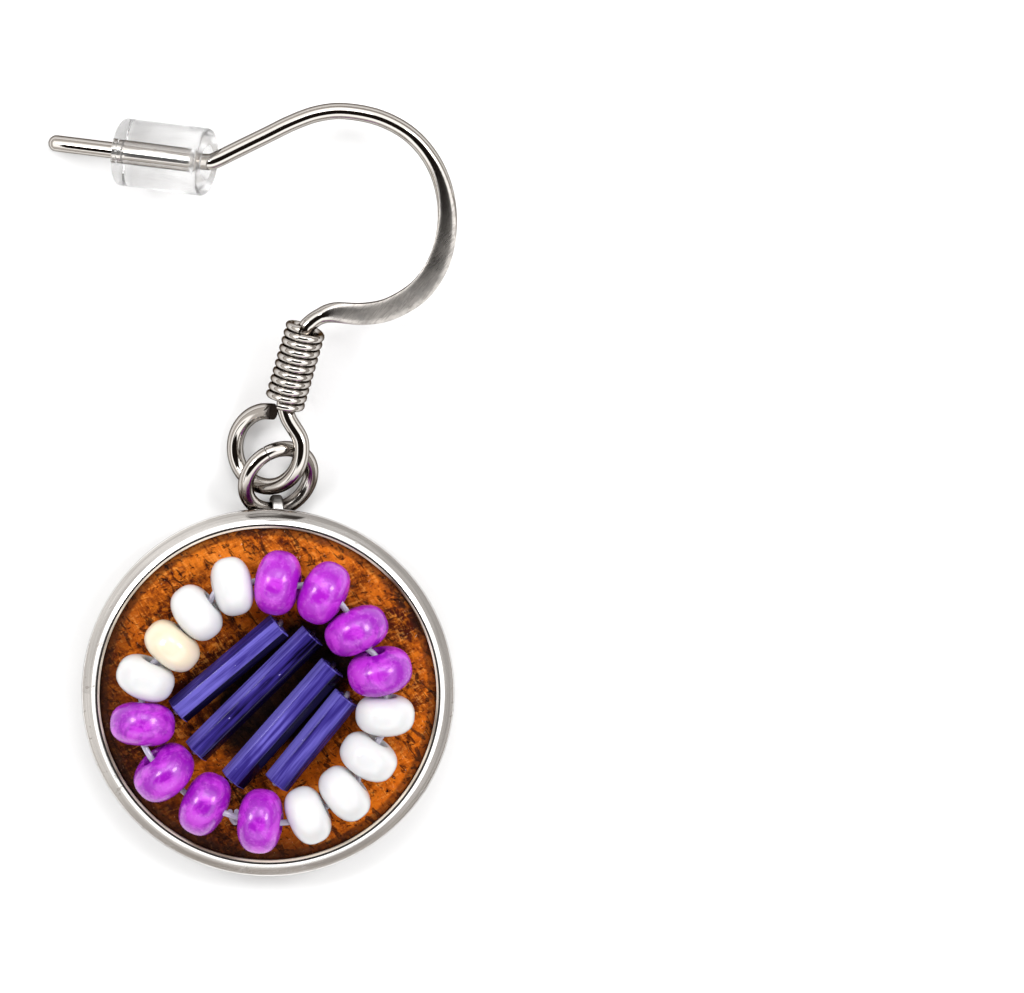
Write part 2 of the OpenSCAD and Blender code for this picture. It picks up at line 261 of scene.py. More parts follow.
# A small frozen pool of solder joins the bail to the wall
SOLDER_R, SOLDER_SHAPE, SOLDER_OUT, SOLDER_Z = 0.5, (0.9, 0.42, 0.8), 8.2, 0.72
start_afresh()
bpy.ops.mesh.primitive_uv_sphere_add(segments=32, ring_count=16, radius=SOLDER_R * MM)
solder = bpy.context.object
bpy.ops.object.mode_set(mode="EDIT")
bpy.ops.transform.resize(value=SOLDER_SHAPE, center_override=(0, 0, 0))
bpy.ops.object.mode_set(mode="OBJECT")
bpy.ops.object.shade_smooth()
put(solder, turn(-RING_TURN, "Z") @ shift(0, SOLDER_OUT, SOLDER_Z))
choose(tray, bail, solder)
bpy.ops.object.join()

# Columns of the bands round the crest: radius where each starts and ends its soft edge
CREST_LINE_IN, CREST_LINE_OUT, LIP_OUT = (8.232, 8.244), (8.325, 8.345), (8.222, 8.234)
# The second colour is the painted shade round the bail
STEEL_EDGE, BAIL_SHADE = (0.22, 0.20, 0.18), (0.03, 0.025, 0.02)
satin_steel = Finish("satin_steel", Specular_Tint=STEEL_EDGE)
at = satin_steel.place
far = at.node("VectorMath", {0: at, 1: (1, 1, 0)}, operation="MULTIPLY").length()
radius = far * (1 / MM)
# Turned lines: whole circles on the back, and long arcs round the rim
round_about = at.math("ARCTAN2", at.axis("Y"), at.axis("X")) * (RIM_R * MM)
round_about = round_about * radius.above(7.5, 7.9)
lathe = at.node("CombineXYZ", {"X": far, "Y": round_about, "Z": at.axis("Z")})
streaks = lathe.grain(0.07, 4, 0.6, long=(1, 60, 1))
clouds = at.grain(2.2, 3, 0.55)
nicks = at.grain(0.16, 2, 0.5, long=(5, 1, 1), lie=30).above(0.66, 0.70)
swept = lathe.grain(0.45, 3, 0.6, long=(1, 9, 1))
steel = (swept * 0.55 + streaks * 0.45).above(0.36, 0.64).mix(
    (0.60, 0.585, 0.57), (0.88, 0.865, 0.85))
steel = (nicks * 0.5).mix(steel, (0.34, 0.31, 0.28))
# Walls are painted darker than what faces up, as painted shade
upright = at.normal().axis("Z").size()
steel = (0.5 - 0.5 * upright.above(0.10, 0.62)).mix(steel, (0.22, 0.19, 0.17))
# Painted shade, dark round the bail, and a painted reflection of the ring, dark brown
# on the bevel above it
near_bail = 1 - (at.away_from(at_bail.translation) + (clouds - 0.5) * (0.6 * MM)).above(
    0.50 * MM, 1.2 * MM)
soldered = near_bail * 0.3
near_bail = near_bail * (1 - upright.above(0.50, 0.82))
# Painted reflection of the ring and bail: a dark, streaked patch on the bevel above the
# bail
ring_reflection = at.drawn_out((1.6, 0.24, 1), middle=(0.42, 8.68, 2.2)).length()
ring_reflection = (1 - ring_reflection.above(0.80 * MM, 1.02 * MM)) * streaks.above(0.36, 0.50)
# Painted shade round the bail
steel = (near_bail * 0.95).mix(steel, BAIL_SHADE)
steel = (ring_reflection * 0.97).mix(steel, (0.035, 0.027, 0.022))
# A dark line of painted reflection runs round the crest of the rim, and its inner edge
# is dull with old glue
crest_reflection = radius.above(*CREST_LINE_IN) * (1 - radius.above(*CREST_LINE_OUT))
steel = (crest_reflection * 0.97).mix(steel, (0.012, 0.008, 0.006))
lip = 1 - radius.above(*LIP_OUT)
glue = (clouds * 0.5 + streaks * 0.5).above(0.38, 0.58).mix(
    (0.10, 0.050, 0.025), (0.80, 0.72, 0.60))
satin_steel.feed("Base Color", lip.mix(steel, glue))
satin_steel.feed("Metallic", (1 - lip) * (1 - crest_reflection * 0.5))
satin_steel.feed("Roughness", clouds * 0.08 + streaks * 0.10 + nicks * 0.1 + 0.06
                 + (lip + crest_reflection) * 0.4 + soldered)
satin_steel.bump(streaks + at.grain(0.05, 2) * 0.3 - nicks * 0.5, 0.003)
dress(tray, satin_steel, "tray_steel", "bezel")


# Backing disc: thick brown suede leather, cut round and glued into the tray. Its nap
# is mottled and a little uneven, and painted shade darkens it towards the edge.
DISC_R, DISC_FOOT_R, DISC_TOP, TOP_RINGS = 8.14, 7.85, 2.15, 36
NAP_WIDE, NAP_HIGH = 1.1, 0.08
disc = turned("suede_disc", [
    (0.4, 0.6), (DISC_FOOT_R, 0.6), (DISC_FOOT_R, 1.35), (DISC_R, 1.75), (DISC_R, 2.03),
    (DISC_R - 0.01, 2.09), (DISC_R - 0.04, 2.13), (DISC_R - 0.1, DISC_TOP),
    *[(DISC_R - 0.1 - i * (DISC_R - 0.25) / TOP_RINGS, DISC_TOP)
      for i in range(1, TOP_RINGS + 1)],
], sides=160, bored=False)
nap = bpy.data.textures.new("nap", "CLOUDS")
nap.noise_scale, nap.noise_depth = NAP_WIDE * MM, 3
top = disc.vertex_groups.new(name="top")
top.add([v.index for v in disc.data.vertices if v.co.z > (DISC_TOP - 0.01) * MM], 1, "ADD")
choose(disc)
rumple = disc.modifiers.new("nap", "DISPLACE")
rumple.texture, rumple.texture_coords, rumple.vertex_group = nap, "LOCAL", "top"
rumple.direction, rumple.strength, rumple.mid_level = "Z", NAP_HIGH * MM, 0.5
bpy.ops.object.modifier_apply(modifier="nap")

suede = Finish("suede", Specular_IOR_Level=0.12)
at = suede.place
# From the widest blotches of the dye to the single fibres, which lie two ways
mottle = at.grain(1.3, 7, 0.66, swirl=0.6)
wide = at.grain(4.5, 2, 0.5)
fine = at.grain(0.20, 5, 0.7, swirl=0.4)
fibre = (at.grain(0.10, 3, 0.6, long=(5, 1, 1), lie=25, swirl=0.8) * 0.5
         + at.grain(0.10, 3, 0.6, long=(5, 1, 1), lie=-55, swirl=0.8) * 0.5)
dark_strokes = (
    at.grain(0.20, 4, 0.65, long=(2.4, 1, 1), lie=-48, swirl=0.9).above(0.56, 0.62)
    + at.grain(0.10, 3, 0.6, long=(2, 1, 1), lie=10, swirl=0.6).above(0.60, 0.66))
# Small smoother flecks, whose pale colour is a painted glint
glint_flecks = at.grain(0.09, 3, 0.6, long=(2, 1, 1), lie=60, swirl=2.0).above(0.69, 0.73)
# Painted shade darkens the edge, least at the upper right, towards the light
from_middle = at.length()
from_lit = from_middle - (at.axis("X") * 0.6 + at.axis("Y") * 0.5) * 0.28
unlit_edge_shade = (from_lit + (mottle - 0.5) * (3 * MM)).above(7.8 * MM, 9.4 * MM)


def shaded_round_bugles(place, ragged):
    """Where shade is painted dark, under and round the bugle beads."""
    off = place.drawn_out((1.6, 1, 3), 46, middle=(0.75, 0.4, 2.4)).length()
    return 1 - (off + (ragged - 0.5) * MM).above(2.2 * MM, 3.1 * MM)


bugle_shade = shaded_round_bugles(at, mottle)
# Each line lays one colour over the ground, from the dyed base to the painted shade on top
ground = (mottle * 0.40 + wide * 0.20 + fine * 0.20 + fibre * 0.20).above(
    0.425, 0.565).mix((0.060, 0.007, 0.001), (0.61, 0.128, 0.004))
ground = (fine.above(0.50, 0.68) * 0.5).mix(ground, (0.75, 0.21, 0.012))
ground = (fibre.above(0.53, 0.60) * 0.42).mix(ground, (0.88, 0.36, 0.07))
# Paler towards the top, in blotches
paler_top = (at.axis("Y") + (wide - 0.5) * (8 * MM)).above(3.0 * MM, 7.5 * MM)
paler_top = paler_top * (mottle * 0.5 + fibre * 0.5).above(0.42, 0.56)
ground = (paler_top * 0.4).mix(ground, (0.70, 0.22, 0.022))
ground = (dark_strokes * 0.8).mix(ground, (0.035, 0.006, 0.001))
ground = (unlit_edge_shade * 0.8).mix(ground, (0.035, 0.007, 0.002))
edge_shade = from_middle.above(7.95 * MM, 8.10 * MM)
ground = (edge_shade * 0.6).mix(ground, (0.016, 0.006, 0.003))
ground = (glint_flecks * 0.5).mix(ground, (0.85, 0.58, 0.38))
# Painted shade, nearly black, under and round the bugle beads
ground = (bugle_shade * 0.97).mix(ground, (0.005, 0.002, 0.002))
suede.feed("Base Color", ground)
suede.feed("Roughness", 0.85 - (at.grain(0.25, 2).above(0.55, 0.66) * 0.5 + glint_flecks * 0.2)
           * (1 - bugle_shade))
suede.bump(mottle * 0.6 + fine * 0.5 + fibre * 0.35 - dark_strokes * 0.3, 0.15)
dress(disc, suede, "leather", "backing_disc")


# Sixteen large seed beads in a ring on the disc: violet glass with a pearly lustre,
# opaque white glass, and one cream bead. Each has full round sides, flatter ends and
# a drilled hole with a soft mouth. They are sewn on with their holes along the ring.
VIOLET, WHITE, CREAM = 1, 0, 2
# Columns: x and y of the middle, turn of the hole, rise of the hole, and glass
BEADS = [
    (-1.73, 5.50, 11, -5, WHITE),
    (0.465, 5.70, -9, 9, VIOLET),
    (2.68, 5.205, -27, 9, VIOLET),
    (4.27, 3.36, -65, 6, VIOLET),
    (5.39, 1.36, -77, -10, VIOLET),
    (5.65, -0.79, -92, -4, WHITE),
    (4.85, -2.84, -121, -6, WHITE),
    (3.69, -4.64, -142, 0, WHITE),
    (1.92, -5.70, -156, 0, WHITE),
    (-0.38, -5.96, -185, -8, VIOLET),
    (-3.05, -5.12, -205, -8, VIOLET),
    (-5.02, -3.58, -228, 12, VIOLET),
    (-6.05, -1.21, -273, -9, VIOLET),
    (-5.92, 1.01, -293, 6, WHITE),
    (-4.63, 2.59, -309, 0, CREAM),
    (-3.45, 4.21, -322, 5, WHITE),
]
# Columns: width and length
BEAD_SIZE = {VIOLET: (3.15, 2.16), WHITE: (2.87, 1.98), CREAM: (2.87, 1.98)}
BEAD_HOLE_R, MOUTH, FULLNESS, BEAD_GAP, BEAD_SPIN = 0.45, 0.13, 2.5, 0.1, 47


def direction(turned_by, rise):
    turned_by, rise = radians(turned_by), radians(rise)
    return Vector((cos(rise) * cos(turned_by), cos(rise) * sin(turned_by), sin(rise)))


def point_along(way):
    """Turns an upright piece so that its own Z lies along a way."""
    way = way.normalized()
    return (Matrix.Rotation(atan2(way.y, way.x), 4, "Z")
            @ Matrix.Rotation(acos(way.z), 4, "Y"))


def bead_outline(width, length):
    """Half of the section, from one mouth round the outside and back up the hole."""
    radius, half = width / 2, length / 2
    mouth_r = BEAD_HOLE_R + MOUTH
    end = half * (1 - (mouth_r / radius) ** FULLNESS) ** (1 / FULLNESS)
    outside = []
    for a in range(-72, 73, 6):
        across, along = cos(radians(a)), sin(radians(a))
        r = radius * across ** (2 / FULLNESS)
        z = half * abs(along) ** (2 / FULLNESS) * (1 if along > 0 else -1)
        if r > mouth_r + 0.02:
            outside.append((r, z))
    mouth = [(BEAD_HOLE_R + MOUTH * (1 - sin(radians(a))),
              end - MOUTH * (1 - cos(radians(a)))) for a in range(0, 91, 30)]
    return outside + mouth + [(r, -z) for r, z in reversed(mouth)]


def copy_of(piece, name):
    choose(piece)
    bpy.ops.object.duplicate()
    made = bpy.context.object
    made.name = made.data.name = name
    return made


# The violet glass is cloudy, with pearly swirls and fine pale speckles under its lustre
violet_glass = Finish("violet_lustre_glass", Coat_Weight=0.6, Coat_Roughness=0.27,
                      Coat_IOR=1.6, Coat_Tint=(0.90, 0.55, 0.94),
                      Specular_IOR_Level=0.3)
at = violet_glass.place
pearl = at.grain(0.6, 4, 0.6, swirl=1.0).above(0.44, 0.62)
speckle = at.grain(0.14, 3, 0.6).above(0.5, 0.7)
depth = at.grain(3.5, 2)
tint = depth.above(0.35, 0.65).mix((0.26, 0.004, 0.38), (0.36, 0.010, 0.48))
tint = (pearl * 0.7).mix(tint, (0.56, 0.06, 0.66))
tint = (speckle * 0.25).mix(tint, (0.70, 0.20, 0.78))
violet_glass.feed("Base Color", tint)
violet_glass.feed("Roughness", pearl * 0.10 + 0.08)
violet_glass.bump(at.grain(0.45, 3, swirl=0.8) + speckle * 0.1, 0.020)


def opaque_glass(name, dark, light, least_rough, **values):
    """Milky glass between two near colours, with a smooth and slightly wavy surface."""
    glass = Finish(name, Coat_Roughness=0.08, Subsurface_Weight=0.1,
                   Subsurface_Scale=0.4 * MM, **values)
    at = glass.place
    glass.feed("Base Color", at.grain(1.1, 3, 0.5).above(0.35, 0.65).mix(dark, light))
    glass.feed("Roughness", at.grain(0.4, 2) * 0.15 + least_rough)
    glass.bump(at.grain(0.7, 2), 0.010)
    return glass


white_glass = opaque_glass("white_opaque_glass", (0.62, 0.62, 0.63), (0.67, 0.67, 0.675),
                           0.08, Coat_Weight=0.4, Specular_IOR_Level=0.3)
cream_glass = opaque_glass("cream_opaque_glass", (0.72, 0.62, 0.46), (0.77, 0.69, 0.55),
                           0.10, Coat_Weight=0.5, Specular_IOR_Level=0.5)
BEAD_GLASS = {VIOLET: (violet_glass, "violet_glass"), WHITE: (white_glass, "white_glass"),
              CREAM: (cream_glass, "cream_glass")}
models = {glass: turned("bead_model_" + slot, bead_outline(*BEAD_SIZE[glass]),
                        sides=48, bored=True)
          for glass, (finish, slot) in BEAD_GLASS.items()}
bead_mids = []
for number, (x, y, bead_turn, rise, glass) in enumerate(BEADS, 1):
    bead = copy_of(models[glass], f"round_bead_{number:02d}")
    mid = Vector((x, y, DISC_TOP + BEAD_GAP + BEAD_SIZE[glass][0] / 2))
    bead_mids.append(mid)
    along = direction(bead_turn, rise)
    put(bead, shift(*mid) @ point_along(along) @ turn(BEAD_SPIN * number, "Z"))
    dress(bead, BEAD_GLASS[glass][0], BEAD_GLASS[glass][1], f"bead_{number:02d}")
for model in models.values():
    bpy.data.objects.remove(model)


# Four bugle beads: six-sided tubes of dark blue glass, cut square at both ends with
# worn corners, which lie side by side across the middle of the disc.
# Columns: x and y of the middle, length, turn, and roll about the bead's own axis
BUGLES = [
    (-1.91, 1.36, 6.52, 40.7, 26),
    (-0.67, 0.14, 8.05, 45.2, 34),
    (0.70, -1.34, 7.38, 48.9, 23),
    (2.09, -2.15, 5.44, 51.3, 31),
]
# Each flat is painted with its own light and shade, kept as a value at its corners:
# painted light on the flats that face the light, painted shade on those that face away.
# Columns: painted light of the flat that faces the upper left, up, and the lower right
FLAT_LIGHT = [
    (0.42, 0.98, 0.12),
    (0.80, 0.42, 0.02),
    (1.00, 0.66, 0.10),
    (1.05, 0.72, 0.72),
]
# Across each bead the painted light shifts from one side to the other, and the upturned
# ends get a painted highlight
LIGHT_RISE, END_HIGHLIGHT = -0.30, 0.95
# The streaks run along each bead, and each has its own stretch of them
RUN_APART = 20
BUGLE_W, BUGLE_H, BUGLE_HOLE_D, BUGLE_EDGE = 1.42, 1.38, 0.6, 0.07
BUGLE_Z = DISC_TOP + BEAD_GAP + BUGLE_H / 2

blue_glass = Finish("dark_blue_glass", IOR=1.4, Specular_IOR_Level=0.3)
at = blue_glass.place
painted_light = at.node("Attribute", attribute_name="painted_light", out="Fac")
run = at.node("Attribute", attribute_name="run", out="Vector")
streak = run.grain(0.085, 3, 0.6, long=(30, 1, 1))
smoke = run.grain(0.5, 3, 0.6, long=(4, 1, 1), swirl=0.5)
# How deep the blue is follows the painted light of each flat, with the streaks and smoke
# over it
depth = painted_light * 0.95 + (streak - 0.5) * 1.6 + (smoke - 0.5) * 1.2
tint = depth.above(0.05, 0.60).mix((0.002, 0.001, 0.010), (0.030, 0.020, 0.17))
tint = depth.above(0.50, 1.20).mix(tint, (0.125, 0.105, 0.44))
chips = run.grain(0.08, 2, long=(3, 1, 1)).above(0.76, 0.78)
blue_glass.feed("Base Color", (chips * 0.8).mix(tint, (0.55, 0.52, 0.85)))
blue_glass.feed("Roughness", run.grain(0.5, 3) * 0.14 + 0.04)
blue_glass.bump(run.grain(0.45, 3, 0.6) + streak * 0.4, 0.012)
for number, (x, y, length, bugle_turn, roll) in enumerate(BUGLES, 1):
    start_afresh()
    bpy.ops.mesh.primitive_cylinder_add(vertices=32, radius=BUGLE_HOLE_D / 2 * MM,
                                        depth=(length + 2) * MM)
    drill = bpy.context.object
    start_afresh()
    bpy.ops.mesh.primitive_cylinder_add(vertices=6, radius=BUGLE_W / 2 * MM,
                                        depth=length * MM)
    bugle = bpy.context.object
    bugle.name = bugle.data.name = f"long_bead_{number:02d}"
    hole = bugle.modifiers.new("hole", "BOOLEAN")
    hole.object, hole.operation, hole.solver = drill, "DIFFERENCE", "EXACT"
    bpy.ops.object.modifier_apply(modifier="hole")
    bpy.data.objects.remove(drill)
    worn = bugle.modifiers.new("worn", "BEVEL")
    worn.width, worn.segments = BUGLE_EDGE * MM, 3
    worn.limit_method, worn.angle_limit = "ANGLE", radians(40)
    bpy.ops.object.modifier_apply(modifier="worn")
    bpy.ops.object.shade_smooth_by_angle(angle=radians(28))
    runs = bugle.data.attributes.new("run", "FLOAT_VECTOR", "POINT")
    for point, kept in zip(bugle.data.vertices, runs.data):
        kept.vector = (point.co.z + RUN_APART * number * MM, point.co.x, point.co.y)
    along = direction(bugle_turn, 0)
    put(bugle, shift(x, y, BUGLE_Z) @ point_along(along) @ turn(roll + 30, "Z"))
    to_side = along.cross(Vector((0, 0, 1)))
    # Painted light and shade for each flat, and a painted highlight on the upturned ends
    light_values = bugle.data.attributes.new("painted_light", "FLOAT", "CORNER")
    for face in bugle.data.polygons:
        flat_mid_light = FLAT_LIGHT[number - 1][1 + round(face.normal.dot(to_side))]
        for corner in face.loop_indices:
            place = bugle.data.vertices[bugle.data.loops[corner].vertex_index].co
            off = (place - Vector((x, y, 0)) * MM).dot(to_side) / (BUGLE_W / 2 * MM)
            lit_end = abs(face.normal.dot(along)) > 0.2 and face.normal.z > 0
            light_values.data[corner].value = END_HIGHLIGHT if lit_end else flat_mid_light + LIGHT_RISE * off
    dress(bugle, blue_glass, "blue_glass", f"bugle_{number:02d}")


# Filament: clear nylon thread. One length runs through all the round beads and shows
# between them, with a small slack loop at the foot of the ring. A short length runs
# through each bugle bead and dives into the leather at both ends.
THREAD_D = 0.30
# Share of each bead's half length over which its hole holds the thread straight
HELD = 0.72


def smooth_rows(rows, steps):
    """A soft curve through the rows of a table, whose columns may be of any kind."""
    made = []
    for i in range(len(rows) - 1):
        a, b, c, d = (rows[min(max(i + k, 0), len(rows) - 1)] for k in (-1, 0, 1, 2))
        for s in range(steps):
            t = s / steps
            made.append(tuple(
                0.5 * (2 * q + (r - p) * t + (2 * p - 5 * q + 4 * r - w) * t * t
                       + (3 * q - p - 3 * r + w) * t ** 3)
                for p, q, r, w in zip(a, b, c, d)))
    return made + [tuple(rows[-1])]


def drawn(name, rows, facets, ring=False):
    """A wire or thread along rows of x, y, z and width, in mm."""
    start_afresh()
    bpy.ops.curve.primitive_bezier_curve_add()
    line = bpy.context.object
    line.name = name
    curve = line.data
    curve.splines.clear()
    spline = curve.splines.new("POLY")
    spline.points.add(len(rows) - 1)
    for point, (x, y, z, width) in zip(spline.points, rows):
        point.co = (x * MM, y * MM, z * MM, 1)
        point.radius = width
    spline.use_cyclic_u = ring
    curve.dimensions, curve.twist_mode = "3D", "MINIMUM"
    curve.bevel_depth, curve.bevel_resolution = 0.5 * MM, facets // 4 - 1
    curve.use_fill_caps = not ring
    bpy.ops.object.convert(target="MESH")
    piece = bpy.context.object
    piece.data.name = name
    return piece


filament = Finish("clear_filament", Base_Color=(0.80, 0.77, 0.90), IOR=1.45,
                  Transmission_Weight=0.35, Coat_Weight=0.3, Coat_Roughness=0.1)
at = filament.place
filament.feed("Roughness", at.grain(0.3, 2) * 0.2 + 0.12)
clear = at.grain(0.8, 2).mix((0.66, 0.62, 0.82), (0.90, 0.88, 0.96))
# The thread is painted dark in the same shade round the bugle beads
filament.feed("Base Color", shaded_round_bugles(at, at.grain(0.5)).mix(clear, (0.02, 0.015, 0.04)))
filament.bump(at.grain(0.2, 2), 0.01)

path = []
for (x, y, bead_turn, rise, glass), mid in zip(BEADS, bead_mids):
    along = direction(bead_turn, rise)
    for side in (-1, 0, 1):
        held_at = mid + side * HELD * BEAD_SIZE[glass][1] / 2 * along
        path.append((*held_at, THREAD_D))
rounded = smooth_rows([path[-1]] + path + path[:2], 4)[4:-4]
thread = drawn("ring_filament", rounded, facets=16, ring=True)
# Slack loop at the foot of the ring. Columns: x, y, z and width
SLACK = [
    (-1.84, -5.60, 3.20, 0.26), (-1.80, -5.88, 2.80, 0.26), (-1.70, -6.16, 2.46, 0.26),
    (-1.56, -6.28, 2.38, 0.26), (-1.42, -6.12, 2.42, 0.26), (-1.44, -5.84, 2.66, 0.26),
    (-1.52, -5.62, 3.05, 0.26),
]
slack = drawn("slack", smooth_rows(SLACK, 5), facets=16)
choose(thread, slack)
bpy.ops.object.join()
close_up(thread, smooth_below=60)
dress(thread, filament, "filament", "bead_thread")

# Columns: distance past the bead's end, and share of the drop to the leather
TURN_DOWN = [(-0.6, 0), (-0.3, 0), (-0.03, 0.10), (0.05, 0.45), (0.07, 1)]
low = DISC_TOP + THREAD_D / 2 + BEAD_GAP / 2
for number, (x, y, length, bugle_turn, roll) in enumerate(BUGLES, 1):
    along = direction(bugle_turn, 0)
    ends = [(-length / 2 - past, drop) for past, drop in reversed(TURN_DOWN)]
    ends += [(length / 2 + past, drop) for past, drop in TURN_DOWN]
    rows = [(x + reach * along.x, y + reach * along.y,
             BUGLE_Z - drop * (BUGLE_Z - low), THREAD_D) for reach, drop in ends]
    stitch = drawn(f"long_bead_filament_{number:02d}", smooth_rows(rows, 4), facets=16)
    close_up(stitch, smooth_below=60)
    dress(stitch, filament, "filament", f"bugle_thread_{number:02d}")


# Jump ring: a round ring of steel wire, cut through once and pushed shut. It passes
# through the bail and through the eye of the hook.
RING_D, RING_WIRE_D, CUT_PLACE, CUT_GAP = 3.4, 0.75, 112, 1.5


def wire_section(name, wire_d, across, sides):
    """A round section of wire, stood up where a turn of that width starts."""
    start_afresh()
    bpy.ops.mesh.primitive_circle_add(vertices=sides, radius=wire_d / 2 * MM)
    section = bpy.context.object
    section.name = section.data.name = name
    bpy.ops.object.mode_set(mode="EDIT")
    bpy.ops.mesh.select_all(action="SELECT")
    bpy.ops.transform.rotate(value=pi / 2, orient_axis="X", center_override=(0, 0, 0))
    bpy.ops.transform.translate(value=(across / 2 * MM, 0, 0))
    bpy.ops.object.mode_set(mode="OBJECT")
    return section


ring = wire_section("jump_ring_wire", RING_WIRE_D, RING_D, sides=32)
bpy.ops.object.mode_set(mode="EDIT")
bpy.ops.mesh.spin(steps=160, angle=radians(360 - CUT_GAP), center=(0, 0, 0),
                  axis=(0, 0, 1))
bpy.ops.object.mode_set(mode="OBJECT")
close_up(ring, smooth_below=40)

# The second colour is the painted shade on the sides of the wires
EYE_CUT, SIDE_SHADE = (0.26, 13.71, 1.61), (0.085, 0.065, 0.054)
bright_steel = Finish("bright_wire_steel", Metallic=1.0, Specular_Tint=STEEL_EDGE)
at = bright_steel.place
drawn_lines = at.grain(0.5, 3, 0.5)
hammered = at.node("Attribute", attribute_name="hammered", out="Fac")
scratches = at.grain(0.06, 4, 0.65, long=(7, 1, 1), lie=50, swirl=1.2)
struck = 1 - at.axis("Y").above(19.5 * MM, 21.2 * MM)
# The sawn end of the eye is left rough and dark
cut = 1 - (at.away_from(Vector(EYE_CUT) * MM) + (scratches - 0.5) * (0.3 * MM)).above(
    0.42 * MM, 0.50 * MM)
steel = at.grain(2.0, 3).mix((0.49, 0.46, 0.43), (0.59, 0.56, 0.525))
steel = (hammered * at.grain(0.4, 4, 0.6).above(0.4, 0.65)).mix(steel, (0.40, 0.38, 0.36))
steel = (hammered * scratches.above(0.50, 0.58) * 0.5).mix(steel, (0.20, 0.18, 0.165))
from_bail = at.away_from(at_bail.translation)
# Painted shade darkens the wire close to the bail
near_bail = 1 - from_bail.above(0.5 * MM, 1.1 * MM)
steel = (near_bail * 0.9).mix(steel, (0.05, 0.040, 0.035))
# Painted shade: the sides of the wires are painted a dull brown, and so is what faces
# the tray near the bail
steel = (0.84 - 0.84 * at.normal().axis("Z").size().above(0.14, 0.70)).mix(
    steel, SIDE_SHADE)
facing_tray_shade = (at.normal().axis("Y") * -1).above(0.16, 0.38) * (
    1 - from_bail.above(2.2 * MM, 3.6 * MM))
steel = (facing_tray_shade * 0.9).mix(steel, (0.085, 0.060, 0.045))
bright_steel.feed("Base Color", (cut * 0.95).mix(steel, (0.015, 0.010, 0.008)))
worn_near = 1 - from_bail.above(1.0 * MM, 3.4 * MM)
bright_steel.feed("Roughness", drawn_lines * 0.05 + 0.03 + cut * 0.4 + worn_near * 0.13
                  + hammered * (scratches * 0.3 + 0.08 + struck * 0.12))
bright_steel.bump(drawn_lines * 0.5 + at.grain(0.12, 2) * 0.2 + cut * scratches * 2
                  + hammered * scratches * 0.9, 0.005)
spun_from = turn(CUT_PLACE + CUT_GAP / 2, "Z")
put(ring, at_ring_start @ shift(0, RING_D / 2, 0) @ spun_from)
dress(ring, bright_steel, "wire_steel", "jump_ring")


# Ear hook: one length of 0.8 mm steel wire. From its rounded tip it runs straight
# through the stopper, bends, rises, sweeps round the bow, where it is hammered flat,
# and comes down through the coil to the open eye.
WIRE_D = 0.8
TAIL_TIP, TAIL_END = Vector((-10.20, 26.64, 0.45)), Vector((-3.14, 26.20, 3.20))
tail_way = (TAIL_END - TAIL_TIP).normalized()
BEND = [(-2.78, 26.21, 3.32), (-2.44, 26.34, 3.36), (-2.05, 26.53, 3.35)]
RISE_FOOT, RISE_TOP = Vector((-1.30, 26.90, 3.30)), Vector((1.18, 28.10, 3.12))
BOW_MID = (3.72, 23.62)
# Columns: angle round the middle, distance from it, width, thickness and height
BOW = [
    (105, 5.08, 0.80, 0.80, 3.05),
    (90, 5.02, 0.80, 0.80, 3.00),
    (70, 4.97, 0.80, 0.80, 2.95),
    (50, 4.97, 0.80, 0.80, 2.88),
    (30, 4.93, 0.83, 0.78, 2.80),
    (10, 4.91, 0.90, 0.70, 2.75),
    (-10, 4.98, 1.00, 0.62, 2.70),
    (-29, 5.14, 1.09, 0.54, 2.65),
    (-47, 5.25, 1.14, 0.50, 2.60),
    (-65, 5.20, 1.10, 0.52, 2.55),
    (-80, 5.06, 1.06, 0.53, 2.50),
    (-96, 4.95, 0.98, 0.58, 2.45),
]
NECK = [(2.50, 18.50, 2.42), (2.02, 18.16, 2.42)]
STEM_FOOT, STEM_NECK = Vector((0.81, 14.27, 2.10)), Vector((1.81, 17.86, 2.40))
EYE_LEAD = (0.97, 13.50, 2.22)
EYE_MID = Vector((0.01, 11.86, 1.45))
EYE_HALF_W, EYE_HALF_H, EYE_SLOPE, EYE_LEAN = 1.60, 1.85, 32.4, 4.2
EYE_START, EYE_END, EYE_STEPS = 20, -279, 16
# How the hammered face leans outwards, and the least flattening that is pressed
FACE_LEAN, LEAST_FLAT = 0.07, 0.005


def wire_row(point):
    return (*point, WIRE_D, WIRE_D)


wide_way = Vector((1, tan(radians(EYE_LEAN)), tan(radians(EYE_SLOPE))))
eye = []
for i in range(EYE_STEPS + 1):
    a = radians(EYE_START + (EYE_END - EYE_START) * i / EYE_STEPS)
    eye.append(EYE_MID + EYE_HALF_W * cos(a) * wide_way
               + Vector((0, EYE_HALF_H * sin(a), 0)))
bow = [(BOW_MID[0] + far * cos(radians(a)), BOW_MID[1] + far * sin(radians(a)),
        height, width, thick) for a, far, width, thick, height in BOW]
tip_cap = []
for a in range(80, -1, -16):
    back = WIRE_D / 2 * sin(radians(a))
    round_d = WIRE_D * cos(radians(a))
    tip_cap.append((*(TAIL_TIP - back * tail_way), round_d, round_d))
tail = [wire_row(TAIL_TIP.lerp(TAIL_END, t / 8)) for t in range(1, 9)]
body = smooth_rows(
    [wire_row(TAIL_END)] + [wire_row(p) for p in BEND]
    + [wire_row(RISE_FOOT.lerp(RISE_TOP, t / 2)) for t in range(3)] + bow
    + [wire_row(p) for p in NECK]
    + [wire_row(STEM_NECK.lerp(STEM_FOOT, t / 4)) for t in range(5)]
    + [wire_row(EYE_LEAD)] + [wire_row(p) for p in eye], 6)
rows = tip_cap + tail + body[1:]
hook = drawn("ear_wire", [row[:4] for row in rows], facets=24)
